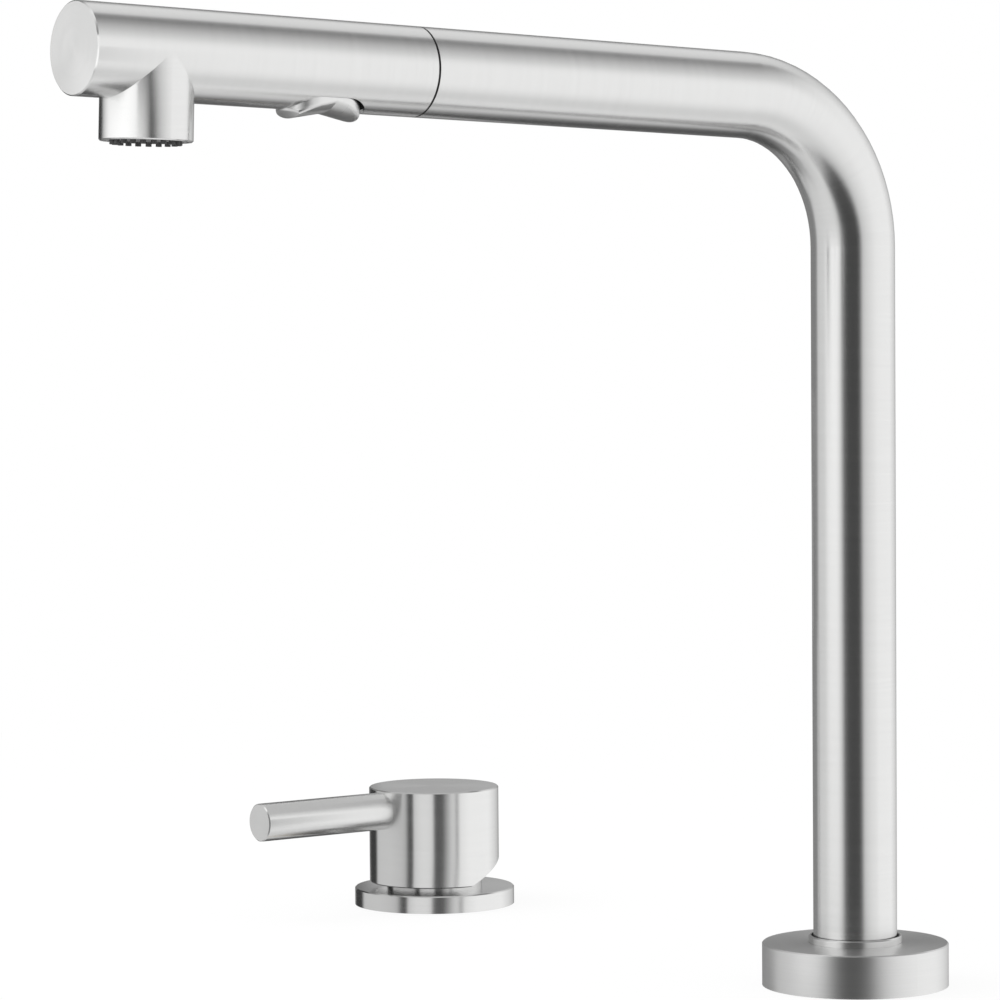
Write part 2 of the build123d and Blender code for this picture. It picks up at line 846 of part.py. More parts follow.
write_clamp("spout", deck, shank_radius)
write_clamp("valve", valve_deck, valve_shank_radius)

# Valve rosette, seal and body
with BuildPart() as valve_rosette:
    extrude(disc(valve_deck, rosette_radius), amount=rosette_height)
    chamfer(valve_rosette.edges().group_by(Axis.Z)[-1], edge_chamfer)
    extrude(disc(valve_deck, valve_shank_radius + fit_gap), amount=rosette_height, mode=Mode.SUBTRACT)
    extrude(
        ring(valve_deck, rosette_seal_radius, rosette_seal_radius - foot_seal_width),
        amount=foot_seal_height,
        mode=Mode.SUBTRACT,
    )
write(valve_rosette, "valve_rosette")

with BuildPart() as rosette_seal:
    extrude(
        ring(valve_deck, rosette_seal_radius - fit_gap, rosette_seal_radius - foot_seal_width + fit_gap),
        amount=foot_seal_height,
    )
write(rosette_seal, "rosette_seal")

with BuildPart() as valve_body:
    extrude(
        disc(valve_at(-valve_shank_drop), valve_shank_radius),
        amount=valve_shank_drop + rosette_height,
    )
    extrude(disc(valve_at(rosette_height), neck_radius), amount=neck_height)
    extrude(disc(valve_at(rosette_height), housing_radius), amount=housing_top - rosette_height)
    chamfer(valve_body.edges().group_by(Axis.Z)[-1], edge_chamfer)
    extrude(
        disc(valve_at(cartridge_seat), cartridge_radius + fit_gap),
        amount=cartridge_top - cartridge_seat,
        mode=Mode.SUBTRACT,
    )
    extrude(disc(valve_at(cartridge_top), nut_radius + fit_gap), amount=housing_top, mode=Mode.SUBTRACT)
    extrude(
        holes(valve_at(-valve_shank_drop), port_circle, port_bore, port_count),
        amount=valve_shank_drop + rosette_height,
        mode=Mode.SUBTRACT,
    )
    extrude(
        holes(valve_at(-valve_shank_drop), port_circle, port_radius, port_count),
        amount=port_depth,
        mode=Mode.SUBTRACT,
    )
write(valve_body, "valve_body")

# Mixing cartridge inside the valve body
with BuildPart() as cartridge_seal:
    extrude(disc(valve_at(cartridge_seat), cartridge_radius), amount=cartridge_seal_height)
    extrude(
        holes(valve_at(cartridge_seat), port_circle, port_bore, port_count),
        amount=cartridge_seal_height,
        mode=Mode.SUBTRACT,
    )
write(cartridge_seal, "cartridge_seal")

with BuildPart() as cartridge_housing:
    extrude(disc(valve_at(housing_floor), cartridge_radius), amount=cartridge_top - housing_floor)
    extrude(
        disc(valve_at(fixed_disc_floor), cartridge_bore),
        amount=carrier_top + carrier_head_room - fixed_disc_floor,
        mode=Mode.SUBTRACT,
    )
    extrude(
        disc(valve_at(carrier_top), cartridge_opening),
        amount=cartridge_top - carrier_top,
        mode=Mode.SUBTRACT,
    )
    extrude(
        holes(valve_at(housing_floor), port_circle, port_bore, port_count),
        amount=cartridge_floor,
        mode=Mode.SUBTRACT,
    )
write(cartridge_housing, "cartridge_housing")

with BuildPart() as fixed_disc:
    extrude(disc(valve_at(fixed_disc_floor), fixed_disc_radius), amount=disc_height)
    extrude(
        holes(valve_at(fixed_disc_floor), port_circle, port_bore, port_count),
        amount=disc_height,
        mode=Mode.SUBTRACT,
    )
write(fixed_disc, "fixed_disc")

with BuildPart() as moving_disc:
    with BuildSketch(valve_at(moving_disc_floor)):
        with Locations((0, moving_disc_offset)):
            Circle(moving_disc_radius)
    extrude(amount=disc_height)
    with BuildSketch(valve_at(moving_disc_floor)):
        with Locations((0, moving_disc_offset)):
            Circle(moving_disc_hollow)
    extrude(amount=disc_height / 2, mode=Mode.SUBTRACT)
write(moving_disc, "moving_disc")

with BuildPart() as disc_carriage:
    with BuildSketch(valve_at(carriage_seat)):
        with Locations((0, moving_disc_offset)):
            Circle(moving_disc_radius)
    extrude(amount=carriage_height)
    extrude(
        slab(
            valve_at(carriage_seat + carriage_floor),
            2 * (stem_foot_half_width + socket_slack),
            2 * (stem_foot_half_thickness + socket_slack),
        ),
        amount=carriage_height,
        mode=Mode.SUBTRACT,
    )
write(disc_carriage, "disc_carriage")

with BuildPart() as stem_carrier:
    extrude(disc(valve_at(carrier_seat), cartridge_bore - run_gap), amount=carrier_height)
    extrude(
        slab(
            valve_at(carrier_seat),
            2 * (stem_half + free_gap),
            carrier_slot_front + carrier_slot_rear,
            (0, (carrier_slot_rear - carrier_slot_front) / 2),
        ),
        amount=carrier_height,
        mode=Mode.SUBTRACT,
    )
    extrude(
        disc(valve_section(lever_pivot), stem_pin_radius + fit_gap),
        amount=cartridge_radius,
        both=True,
        mode=Mode.SUBTRACT,
    )
write(stem_carrier, "stem_carrier")

with BuildPart() as stem_pin:
    extrude(disc(valve_section(lever_pivot), stem_pin_radius), amount=stem_pin_half_length, both=True)
write(stem_pin, "stem_pin")

with BuildPart() as cartridge_nut:
    extrude(
        ring(valve_at(cartridge_top), nut_radius, cartridge_opening + cartridge_nut_gap),
        amount=cartridge_nut_height,
    )
    with BuildSketch(valve_at(cartridge_top + cartridge_nut_height / 2)):
        with PolarLocations(nut_radius, nut_notch_count):
            Rectangle(2 * nut_notch_depth + cartridge_nut_wall, nut_notch_width)
    extrude(amount=cartridge_nut_height, mode=Mode.SUBTRACT)
write(cartridge_nut, "cartridge_nut")

# Lever: stem, cap, rod and the screw that holds the cap on the stem
stem_foot = carriage_seat + carriage_floor + stem_foot_gap
stem_shoulder = lever_pivot - stem_foot_drop
with BuildPart() as cartridge_stem:
    extrude(
        slab(valve_at(stem_foot), 2 * stem_foot_half_width, 2 * stem_foot_half_thickness),
        amount=stem_shoulder - stem_foot,
    )
    extrude(slab(valve_at(stem_shoulder), 2 * stem_half, 2 * stem_half), amount=stem_top - stem_shoulder)
    chamfer(cartridge_stem.edges().group_by(Axis.Z)[-1], edge_chamfer)
    extrude(
        disc(valve_section(lever_pivot), stem_pin_radius + run_gap),
        amount=stem_half,
        both=True,
        mode=Mode.SUBTRACT,
    )
write(cartridge_stem, "cartridge_stem")

front_at_rod = Plane(origin=(-valve_spacing, 0, rod_height), x_dir=(1, 0, 0), z_dir=(0, -1, 0))
rear_at_grub = Plane(origin=(-valve_spacing, 0, cap_top - grub_drop), x_dir=(1, 0, 0), z_dir=(0, 1, 0))
cut_reach = 2 * cap_radius
cut_rise = (cut_reach - cap_cut_start) * tan(radians(cap_cut_angle))
with BuildPart() as lever_cap:
    extrude(disc(valve_at(cap_bottom), cap_radius), amount=cap_height)
    chamfer(lever_cap.edges().filter_by(GeomType.CIRCLE), edge_chamfer)
    extrude(
        ring(valve_at(cap_bottom), cap_bore, boss_radius),
        amount=cap_height - cap_roof,
        mode=Mode.SUBTRACT,
    )
    extrude(
        disc(valve_at(cap_bottom), boss_radius),
        amount=cap_height - cap_roof - boss_height,
        mode=Mode.SUBTRACT,
    )
    extrude(
        slab(valve_at(cap_bottom), 2 * (stem_half + fit_gap), 2 * (stem_half + fit_gap)),
        amount=cap_height - cap_roof,
        mode=Mode.SUBTRACT,
    )
    with BuildSketch(valve_section(cap_bottom)):
        Polygon((cap_cut_start, 0), (cut_reach, cut_rise), (cut_reach, 0), align=None)
    extrude(amount=cut_reach, both=True, mode=Mode.SUBTRACT)
    extrude(disc(front_at_rod, tang_radius + fit_gap), amount=cut_reach, mode=Mode.SUBTRACT)
    extrude(disc(rear_at_grub, grub_radius + fit_gap), amount=cut_reach, mode=Mode.SUBTRACT)
write(lever_cap, "lever_cap")

with BuildPart() as lever_rod:
    extrude(disc(front_at_rod, rod_radius), amount=rod_reach)
    chamfer(lever_rod.edges().group_by(Axis.Y)[0], edge_chamfer)
    extrude(disc(valve_at(0), cap_radius), amount=2 * cap_top, mode=Mode.SUBTRACT)
    extrude(disc(front_at_rod.offset(boss_radius), tang_radius), amount=cap_radius)
write(lever_rod, "lever_rod")

with BuildPart() as grub_screw:
    extrude(
        disc(rear_at_grub.offset(stem_half + fit_gap), grub_radius),
        amount=boss_radius - stem_half - fit_gap,
    )
    with BuildSketch(rear_at_grub.offset(boss_radius)):
        RegularPolygon(screw_socket, 6)
    extrude(amount=-(boss_radius - stem_half) / 2, mode=Mode.SUBTRACT)
write(grub_screw, "grub_screw")

with BuildPart() as screw_plug:
    extrude(disc(rear_at_grub.offset(cap_radius - plug_thickness), grub_radius), amount=2 * plug_thickness)
    extrude(disc(valve_at(0), cap_radius), amount=2 * cap_top, mode=Mode.INTERSECT)
write(screw_plug, "screw_plug")
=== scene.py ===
import json
from math import asin, cos, degrees, pi, radians, sin, tan

import bpy
from mathutils import Matrix, Vector

# Under-window kitchen tap in satin stainless steel, dressed for a white studio.
# Every CAD node keeps its shape, and gets the finish that its material slot names.

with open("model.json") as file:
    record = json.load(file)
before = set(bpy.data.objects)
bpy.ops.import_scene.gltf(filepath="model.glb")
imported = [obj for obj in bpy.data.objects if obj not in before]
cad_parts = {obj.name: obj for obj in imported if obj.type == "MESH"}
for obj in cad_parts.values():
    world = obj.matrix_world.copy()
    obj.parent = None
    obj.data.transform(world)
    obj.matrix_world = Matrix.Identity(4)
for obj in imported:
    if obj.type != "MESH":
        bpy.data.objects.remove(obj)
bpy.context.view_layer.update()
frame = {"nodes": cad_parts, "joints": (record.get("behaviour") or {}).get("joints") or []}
nodes = frame["nodes"]
joints = {joint["name"]: joint for joint in frame["joints"]}

# Camera, as the photograph was taken: metres, degrees, and a focal length in picture widths
camera_place = Vector((1.0838, -0.9359, 0.2358))
camera_yaw = 53.912
camera_pitch = -2.901
camera_roll = 0.443
focal_widths = 4.2852
sensor_width = 36.0
nearest_seen = 0.01
farthest_seen = 50

# Directions that the studio is set out by
up = Vector((0, 0, 1))
photo_right = Vector((cos(radians(camera_yaw)), sin(radians(camera_yaw)), 0))
photo_back = Vector((sin(radians(camera_yaw)), -cos(radians(camera_yaw)), 0))

# The tap's own axes and radii, in metres
spout_foot = Vector((0, 0, 0))
valve_foot = Vector((joints["lever_turn"]["pos_m"][0], 0, 0))
arm_axis = Vector(joints["spray_pull"]["axis"])
arm_corner = Vector((0, 0, 0.2946))
arm_turn = radians(88)
outlet_reach = 0.2732
arm_reach = 0.2983
rod_height = 0.0369
rod_axis = Vector((0, -1, 0))
tube_radius = 0.014
bend_radius = 0.0496
flange_radius = 0.0312
rosette_radius = 0.0303
cap_radius = 0.0246
bend_centre = arm_corner - Vector((0, bend_radius, bend_radius * tan(arm_turn / 2)))
outlet_place = arm_corner + arm_axis * outlet_reach
arm_end = arm_corner + arm_axis * arm_reach


# Node trees. Noise runs about one half, and most of it lies between these two values
noise_low = 0.3
noise_high = 0.7


def node(tree, kind, sockets=None, **settings):
    """Adds a shader node. sockets gives inputs, by name or number, as values or as other sockets."""
    made = tree.nodes.new("ShaderNode" + kind)
    for name, value in settings.items():
        setattr(made, name, value)
    for key, value in (sockets or {}).items():
        if isinstance(value, bpy.types.NodeSocket):
            tree.links.new(value, made.inputs[key])
        else:
            made.inputs[key].default_value = value
    return made


def maths(tree, operation, first, second=0.0):
    return node(tree, "Math", {0: first, 1: second}, operation=operation).outputs[0]


def vector_maths(tree, operation, first, second=(0, 0, 0)):
    made = node(tree, "VectorMath", {0: first, 1: second}, operation=operation)
    return made.outputs["Value" if operation in ("DOT_PRODUCT", "LENGTH") else "Vector"]


def scaled(tree, vector, factor):
    made = node(tree, "VectorMath", {0: vector, "Scale": factor}, operation="SCALE")
    return made.outputs["Vector"]


def steady(tree, vector):
    """A vector that is the same all over, as a socket."""
    x, y, z = vector
    return node(tree, "CombineXYZ", {0: x, 1: y, 2: z}).outputs[0]


def spread(tree, value, from_low, from_high, to_low, to_high):
    """Maps one range of values to another, and keeps to its ends."""
    ends = {"From Min": from_low, "From Max": from_high, "To Min": to_low, "To Max": to_high}
    return node(tree, "MapRange", {"Value": value, **ends}).outputs["Result"]


def swung(tree, noise, middle, swing):
    """A value that noise moves to both sides of its middle."""
    return spread(tree, noise, noise_low, noise_high, middle - swing, middle + swing)


def either(tree, factor, first, second):
    """Blends from one vector to another."""
    return node(tree, "Mix", {0: factor, 4: first, 5: second}, data_type="VECTOR").outputs[1]


def grey_colour(tree, shade):
    return node(tree, "CombineColor", {0: shade, 1: shade, 2: shade}).outputs[0]


def shade_between(tree, factor, first, second):
    """Blends from one shader to another."""
    return node(tree, "MixShader", {0: factor, 1: first.outputs[0], 2: second.outputs[0]})


# Camera
def add_camera():
    yaw, pitch, roll = (radians(angle) for angle in (camera_yaw, camera_pitch, camera_roll))
    forward = Vector((-sin(yaw) * cos(pitch), cos(yaw) * cos(pitch), sin(pitch)))
    down = forward.cross(photo_right)
    rolled_right = cos(roll) * photo_right + sin(roll) * down
    rolled_down = cos(roll) * down - sin(roll) * photo_right
    turn = Matrix((rolled_right, -rolled_down, -forward)).transposed().to_4x4()
    camera = bpy.data.objects.new("camera", bpy.data.cameras.new("camera"))
    bpy.context.scene.collection.objects.link(camera)
    camera.matrix_world = Matrix.Translation(camera_place) @ turn
    camera.data.sensor_width = sensor_width
    camera.data.lens = focal_widths * sensor_width
    camera.data.clip_start = nearest_seen
    camera.data.clip_end = farthest_seen
    bpy.context.scene.camera = camera


# Studio: a pale tent with dark flags, which polished metal alone sees. Each table gives light by an
# angle in degrees, and 1 is white. A bearing goes round an upright piece, to the right of straight
# back at the camera. A roll goes about the arm, from the side away from the valve up and over.
brightest = 1.6
tent_by_bearing = (
    (-180, 0.20),
    (-172, 0.26),
    (-126, 0.30),
    (-116, 0.86),
    (-90, 0.90),
    (-76, 0.96),
    (-63, 0.97),
    (-48, 0.97),
    (-40, 0.80),
    (-30, 0.16),
    (-18, 0.08),
    (9, 0.07),
    (15, 0.18),
    (23, 0.84),
    (42, 1.04),
    (66, 1.24),
    (114, 1.24),
    (128, 1.06),
    (140, 0.90),
    (152, 0.70),
    (162, 0.48),
    (172, 0.24),
    (180, 0.20),
)
high_glow_by_bearing = (
    (-92, 0.00),
    (-80, 0.44),
    (-72, 0.56),
    (-52, 0.56),
    (-42, 0.20),
    (-34, 0.00),
)
tent_by_roll = (
    (-180, 0.10),
    (-150, 0.08),
    (-126, 0.11),
    (-119, 0.22),
    (-112, 0.62),
    (-104, 0.84),
    (-96, 0.86),
    (-84, 1.14),
    (-70, 0.94),
    (-56, 0.92),
    (-44, 1.10),
    (-30, 1.22),
    (-4, 1.22),
    (12, 1.14),
    (25, 1.03),
    (38, 0.90),
    (54, 0.66),
    (69, 0.42),
    (80, 0.26),
    (90, 0.26),
    (95, 0.95),
    (136, 1.00),
    (150, 0.22),
    (180, 0.20),
)
valve_by_bearing = (
    (-160, 0.06),
    (-131, 0.05),
    (-123, 0.76),
    (-88, 0.79),
    (-65, 0.73),
    (-56, 0.62),
    (-51, 0.22),
    (-48, 0.09),
    (-42, 0.09),
    (-39, 0.84),
    (-26, 0.98),
    (-12, 0.98),
    (-6, 0.90),
    (-2, 0.18),
    (1, 0.12),
    (12, 0.14),
    (16, 0.30),
    (20, 0.48),
    (25, 0.70),
    (30, 0.88),
    (34, 0.82),
    (37, 0.52),
    (39, 0.52),
    (44, 1.12),
)
behind_valve_by_bearing = (
    (-22, 0.47),
    (11, 0.47),
    (17, 0.18),
    (36, 0.18),
)
column_by_bearing = (
    (-175, 0.26),
    (-128, 0.30),
    (-118, 0.76),
)
flange_by_bearing = (
    (-160, 0.32),
    (-124, 0.36),
    (-112, 0.72),
    (-87, 0.77),
    (-63, 0.79),
    (-48, 0.72),
    (-36, 0.50),
    (-24, 0.20),
    (-14, 0.09),
    (6, 0.10),
    (20, 0.24),
    (34, 0.64),
    (46, 0.92),
    (60, 1.08),
    (80, 1.18),
)
outlet_by_bearing = (
    (-165, 0.05),
    (-138, 0.05),
    (-128, 0.52),
    (-118, 0.95),
    (-103, 1.40),
    (-86, 1.56),
    (-60, 1.60),
    (-46, 1.58),
    (-30, 1.48),
    (-15, 1.28),
    (-4, 1.02),
    (5, 0.56),
    (11, 0.06),
    (17, 0.03),
    (21, 0.16),
    (29, 0.52),
    (38, 0.78),
    (48, 0.96),
    (58, 1.12),
)
end_by_bearing = (
    (-150, 1.02),
    (-95, 1.02),
    (-60, 1.50),
    (-15, 1.50),
)

# Where the tent changes, as parts of a direction one long: its height, its slope up or down, and how
# far it points along +Y, away from the arm's end
glow_starts_at = -0.14
glow_whole_at = 0.01
slant_starts_at = sin(radians(14))
slant_whole_at = sin(radians(30))
steep_starts_at = sin(radians(50))
steep_whole_at = sin(radians(70))
leaving_starts_at = 0.0
leaving_whole_at = 0.3
along_arm_starts_at = 0.68
along_arm_whole_at = 0.85


def light_ramp(tree, angle, stops):
    """Light by angle in radians, through (degrees, light) stops, as a grey that strength scales up."""
    lowest = stops[0][0]
    highest = stops[-1][0]
    place = spread(tree, angle, radians(lowest), radians(highest), 0, 1)
    made = node(tree, "ValToRGB", {0: place})
    elements = made.color_ramp.elements
    for stop, _ in stops[1:-1]:
        elements.new((stop - lowest) / (highest - lowest))
    for element, (_, light) in zip(elements, stops):
        grey = light / brightest
        element.color = (grey, grey, grey, 1)
    return made.outputs["Color"]


def bearing_of(tree, direction, right, back):
    """Angle round the upright, to the right of straight back at the camera."""
    rightward = vector_maths(tree, "DOT_PRODUCT", direction, right)
    backward = vector_maths(tree, "DOT_PRODUCT", direction, back)
    return maths(tree, "ARCTAN2", rightward, backward)


def add_world():
    """Tent by bearing round the spout, and by roll about the arm where light slants past it or is steep."""
    world = bpy.data.worlds.new("studio")
    bpy.context.scene.world = world
    world.use_nodes = True
    tree = world.node_tree
    tree.nodes.clear()
    direction = node(tree, "TexCoord").outputs["Generated"]
    parts = node(tree, "SeparateXYZ", {0: direction})
    bearing = bearing_of(tree, direction, photo_right, photo_back)
    glow = light_ramp(tree, bearing, high_glow_by_bearing)
    height = spread(tree, parts.outputs["Z"], glow_starts_at, glow_whole_at, 0, 1)
    high_glow = scaled(tree, glow, height)
    round_spout = vector_maths(tree, "ADD", light_ramp(tree, bearing, tent_by_bearing), high_glow)
    roll = maths(tree, "ARCTAN2", parts.outputs["Z"], parts.outputs["X"])
    round_arm = light_ramp(tree, roll, tent_by_roll)
    steepness = maths(tree, "ABSOLUTE", parts.outputs["Z"])
    slanting = spread(tree, steepness, slant_starts_at, slant_whole_at, 0, 1)
    leaving = spread(tree, parts.outputs["Y"], leaving_starts_at, leaving_whole_at, 0, 1)
    across_arm = spread(tree, parts.outputs["Y"], along_arm_starts_at, along_arm_whole_at, 1, 0)
    past_arm = maths(tree, "MULTIPLY", leaving, across_arm)
    steep = spread(tree, steepness, steep_starts_at, steep_whole_at, 0, 1)
    by_roll = maths(tree, "MAXIMUM", maths(tree, "MULTIPLY", slanting, past_arm), steep)
    tent = node(tree, "Mix", {0: by_roll, 6: round_spout, 7: round_arm}, data_type="RGBA")
    mirrored = node(tree, "Background", {"Color": tent.outputs[2], "Strength": brightest})
    plain = node(tree, "Background", {"Color": (1, 1, 1, 1), "Strength": 1.0})
    in_metal = node(tree, "LightPath").outputs["Is Glossy Ray"]
    node(tree, "OutputWorld", {"Surface": shade_between(tree, in_metal, plain, mirrored).outputs[0]})


def add_stage(name, corners, faces, material):
    mesh = bpy.data.meshes.new(name)
    mesh.from_pydata(corners, [], faces)
    mesh.materials.append(material)
    piece = bpy.data.objects.new(name, mesh)
    bpy.context.scene.collection.objects.link(piece)
    return piece


def stage_material(name):
    material = bpy.data.materials.new(name)
    material.use_nodes = True
    material.node_tree.nodes.clear()
    return material, material.node_tree


# Floor
floor_half_width = 6.0
floor_gap = 0.0002
floor_darkest = 0.84
floor_palest = 0.87
floor_grain_scale = 900.0
floor_shade_reach = 0.25
floor_white_reach = 0.9
nearest_whiteness = 0.9


def add_floor():
    """Pale worktop, whiter away from the tap. The metal sees the tent go on below it."""
    material, tree = stage_material("floor")
    place = node(tree, "NewGeometry").outputs["Position"]
    grain = node(tree, "TexNoise", {"Vector": place, "Scale": floor_grain_scale, "Detail": 3.0})
    shade = spread(tree, grain.outputs["Fac"], noise_low, noise_high, floor_darkest, floor_palest)
    painted = node(tree, "BsdfDiffuse", {"Color": grey_colour(tree, shade)})
    white = node(tree, "Emission", {"Color": (1, 1, 1, 1), "Strength": 1.0})
    distance = vector_maths(tree, "LENGTH", place)
    whiteness = spread(tree, distance, floor_shade_reach, floor_white_reach, nearest_whiteness, 1)
    path = node(tree, "LightPath")
    for_camera = maths(tree, "MULTIPLY", whiteness, path.outputs["Is Camera Ray"])
    surface = shade_between(tree, for_camera, painted, white)
    clear = node(tree, "BsdfTransparent")
    shown = shade_between(tree, path.outputs["Is Glossy Ray"], surface, clear)
    node(tree, "OutputMaterial", {"Surface": shown.outputs[0]})
    sides = ((-1, -1), (1, -1), (1, 1), (-1, 1))
    corners = [(x * floor_half_width, y * floor_half_width, -floor_gap) for x, y in sides]
    add_stage("floor", corners, [(0, 1, 2, 3)], material)


# Lighting cards: heights and lengths in metres, light as in the tent, and a turn in degrees
card_distance = 0.12
card_steps = 64
under_worktop = -0.060
under_cap = -0.002
over_flange = 0.002
over_outlet = 0.304
cap_card_turn = 3
lever_card_place = Vector((0, -0.03, 0.20))
lever_card_half_width = 0.13
lever_card_light = 0.66


def add_card(name, corners, faces, material, colour):
    """Card that shines on one side, and that polished metal alone sees."""
    tree = material.node_tree
    behind = node(tree, "NewGeometry").outputs["Backfacing"]
    glow = node(tree, "Emission", {"Color": colour, "Strength": brightest})
    clear = node(tree, "BsdfTransparent")
    node(tree, "OutputMaterial", {"Surface": shade_between(tree, behind, glow, clear).outputs[0]})
    material.cycles.emission_sampling = "NONE"
    card = add_stage(name, corners, faces, material)
    card.visible_camera = False
    card.visible_diffuse = False
    card.visible_shadow = False
    card.visible_transmission = False


def add_bent_card(name, centre, piece_radius, light_by_bearing, bottom, top, turn=0):
    """Card with pale and dark strips, bent round an upright piece.
    The bearings are those of the light that the piece's side throws at the camera.
    turn takes the whole card further round, in degrees."""
    back = camera_place - centre
    back.z = 0
    back.normalize()
    back.rotate(Matrix.Rotation(radians(turn), 3, up))
    right = up.cross(back)
    shrink = piece_radius / card_distance
    stops = []
    for bearing, light in light_by_bearing:
        stops.append((bearing - degrees(asin(shrink * sin(radians(bearing) / 2))), light))
    material, tree = stage_material(name)
    place = node(tree, "NewGeometry").outputs["Position"]
    arm = vector_maths(tree, "SUBTRACT", place, centre)
    colour = light_ramp(tree, bearing_of(tree, arm, right, back), stops)
    first = radians(stops[0][0])
    last = radians(stops[-1][0])
    corners = []
    for step in range(card_steps + 1):
        bearing = first + (last - first) * step / card_steps
        edge = centre + (right * sin(bearing) + back * cos(bearing)) * card_distance
        corners += [(edge.x, edge.y, bottom), (edge.x, edge.y, top)]
    faces = [(2 * n, 2 * n + 1, 2 * n + 3, 2 * n + 2) for n in range(card_steps)]
    add_card(name, corners, faces, material, colour)


def add_overhead_card(name, centre, half_width, light):
    """Level square card that shines downwards."""
    material, tree = stage_material(name)
    sides = ((-1, -1), (-1, 1), (1, 1), (1, -1))
    corners = [(centre.x + x * half_width, centre.y + y * half_width, centre.z) for x, y in sides]
    colour = grey_colour(tree, light / brightest)
    add_card(name, corners, [(0, 1, 2, 3)], material, colour)


def add_cards():
    add_bent_card(
        "cap_card",
        valve_foot,
        cap_radius,
        valve_by_bearing,
        bottom=under_cap,
        top=0.080,
        turn=cap_card_turn,
    )
    add_bent_card(
        "rosette_card",
        valve_foot,
        rosette_radius,
        valve_by_bearing,
        bottom=under_worktop,
        top=under_cap,
    )
    add_bent_card(
        "back_card",
        valve_foot,
        cap_radius,
        behind_valve_by_bearing,
        bottom=0,
        top=0.150,
        turn=180,
    )
    add_overhead_card(
        "lever_card",
        valve_foot + lever_card_place,
        lever_card_half_width,
        lever_card_light,
    )
    add_bent_card(
        "flange_card",
        spout_foot,
        flange_radius,
        flange_by_bearing,
        bottom=under_worktop,
        top=over_flange,
    )
    add_bent_card(
        "column_card",
        spout_foot,
        tube_radius,
        column_by_bearing,
        bottom=over_flange,
        top=0.110,
    )
    add_bent_card(
        "outlet_card",
        outlet_place,
        tube_radius,
        outlet_by_bearing,
        bottom=0.240,
        top=over_outlet,
    )
    add_bent_card(
        "end_card",
        arm_end,
        tube_radius,
        end_by_bearing,
        bottom=over_outlet,
        top=0.360,
    )


def add_softbox(place, target, width, watts):
    light = bpy.data.lights.new("softbox", "AREA")
    light.size = width
    light.energy = watts
    lamp = bpy.data.objects.new("softbox", light)
    bpy.context.scene.collection.objects.link(lamp)
    lamp.location = place
    lamp.rotation_euler = (target - place).to_track_quat("-Z", "Y").to_euler()
    lamp.visible_glossy = False


# Grain: how far along a piece a point is, how far out from its axis, and which way its profile runs
outlet_starts_at = tube_radius * 1.012


def place_and_normal(tree):
    geometry = node(tree, "NewGeometry")
    return geometry.outputs["Position"], geometry.outputs["Normal"]


def grain_from(tree, normal, axis, arm, start):
    """Grain of marks round an axis, on the sides and on the flat ends alike."""
    along = vector_maths(tree, "DOT_PRODUCT", arm, axis)
    outward = vector_maths(tree, "SUBTRACT", arm, scaled(tree, axis, along))
    round_way = vector_maths(tree, "CROSS_PRODUCT", axis, outward)
    profile = vector_maths(tree, "CROSS_PRODUCT", normal, round_way)
    station = maths(tree, "ADD", maths(tree, "ADD", along, start), vector_maths(tree, "LENGTH", outward))
    return station, outward, profile


def turned(centre, axis):
    """Marks that a lathe leaves round one straight axis."""

    def grain(tree):
        place, normal = place_and_normal(tree)
        arm = vector_maths(tree, "SUBTRACT", place, centre)
        return grain_from(tree, normal, steady(tree, axis), arm, 0.0)

    return grain


def swept(tree):
    """Marks round the spout: up its column, round its bend and out along its arm."""
    place, normal = place_and_normal(tree)
    from_bend = vector_maths(tree, "SUBTRACT", place, bend_centre)
    parts = node(tree, "SeparateXYZ", {0: from_bend})
    angle = maths(tree, "ARCTAN2", parts.outputs["Z"], parts.outputs["Y"])
    turn = maths(tree, "MINIMUM", maths(tree, "MAXIMUM", angle, 0.0), arm_turn)
    side = maths(tree, "COSINE", turn)
    rise = maths(tree, "SINE", turn)
    spoke = node(tree, "CombineXYZ", {1: side, 2: rise}).outputs[0]
    axis = node(tree, "CombineXYZ", {1: maths(tree, "MULTIPLY", rise, -1.0), 2: side}).outputs[0]
    arm = vector_maths(tree, "SUBTRACT", from_bend, scaled(tree, spoke, bend_radius))
    return grain_from(tree, normal, axis, arm, maths(tree, "MULTIPLY", turn, bend_radius))


def lengthwise(tree):
    """Marks across a small piece that is polished along the arm."""
    place, _ = place_and_normal(tree)
    along = vector_maths(tree, "DOT_PRODUCT", place, arm_axis)
    return along, place, steady(tree, arm_axis)


def spray_head(tree):
    """Marks round the arm, and round the outlet where that stands out of it."""
    station, outward, profile = swept(tree)
    outlet_station, outlet_outward, outlet_profile = turned(outlet_place, up)(tree)
    reach = vector_maths(tree, "LENGTH", outward)
    in_outlet = maths(tree, "GREATER_THAN", reach, outlet_starts_at)
    mixed_station = node(tree, "Mix", {0: in_outlet, 2: station, 3: outlet_station}).outputs[0]
    mixed_outward = either(tree, in_outlet, outward, outlet_outward)
    return mixed_station, mixed_outward, either(tree, in_outlet, profile, outlet_profile)


# Finishes
def new_finish(name):
    material = bpy.data.materials.new(name)
    material.use_nodes = True
    return material, material.node_tree, material.node_tree.nodes["Principled BSDF"]


def add_relief(tree, shader, height, strength, distance):
    bump = node(tree, "Bump", {"Height": height, "Strength": strength, "Distance": distance})
    tree.links.new(bump.outputs[0], shader.inputs["Normal"])


# Satin steel: marks and bands across the grain, their swings of grey and of roughness, and the
# share of blue that makes the grey a little warm
marks_along = 3600.0
marks_round = 40.0
bands_to_marks = 0.06
mark_grey_swing = 0.018
band_grey_swing = 0.006
mark_rough_swing = 0.02
band_rough_swing = 0.008
steel_blue = 0.994
mark_height = 0.0001


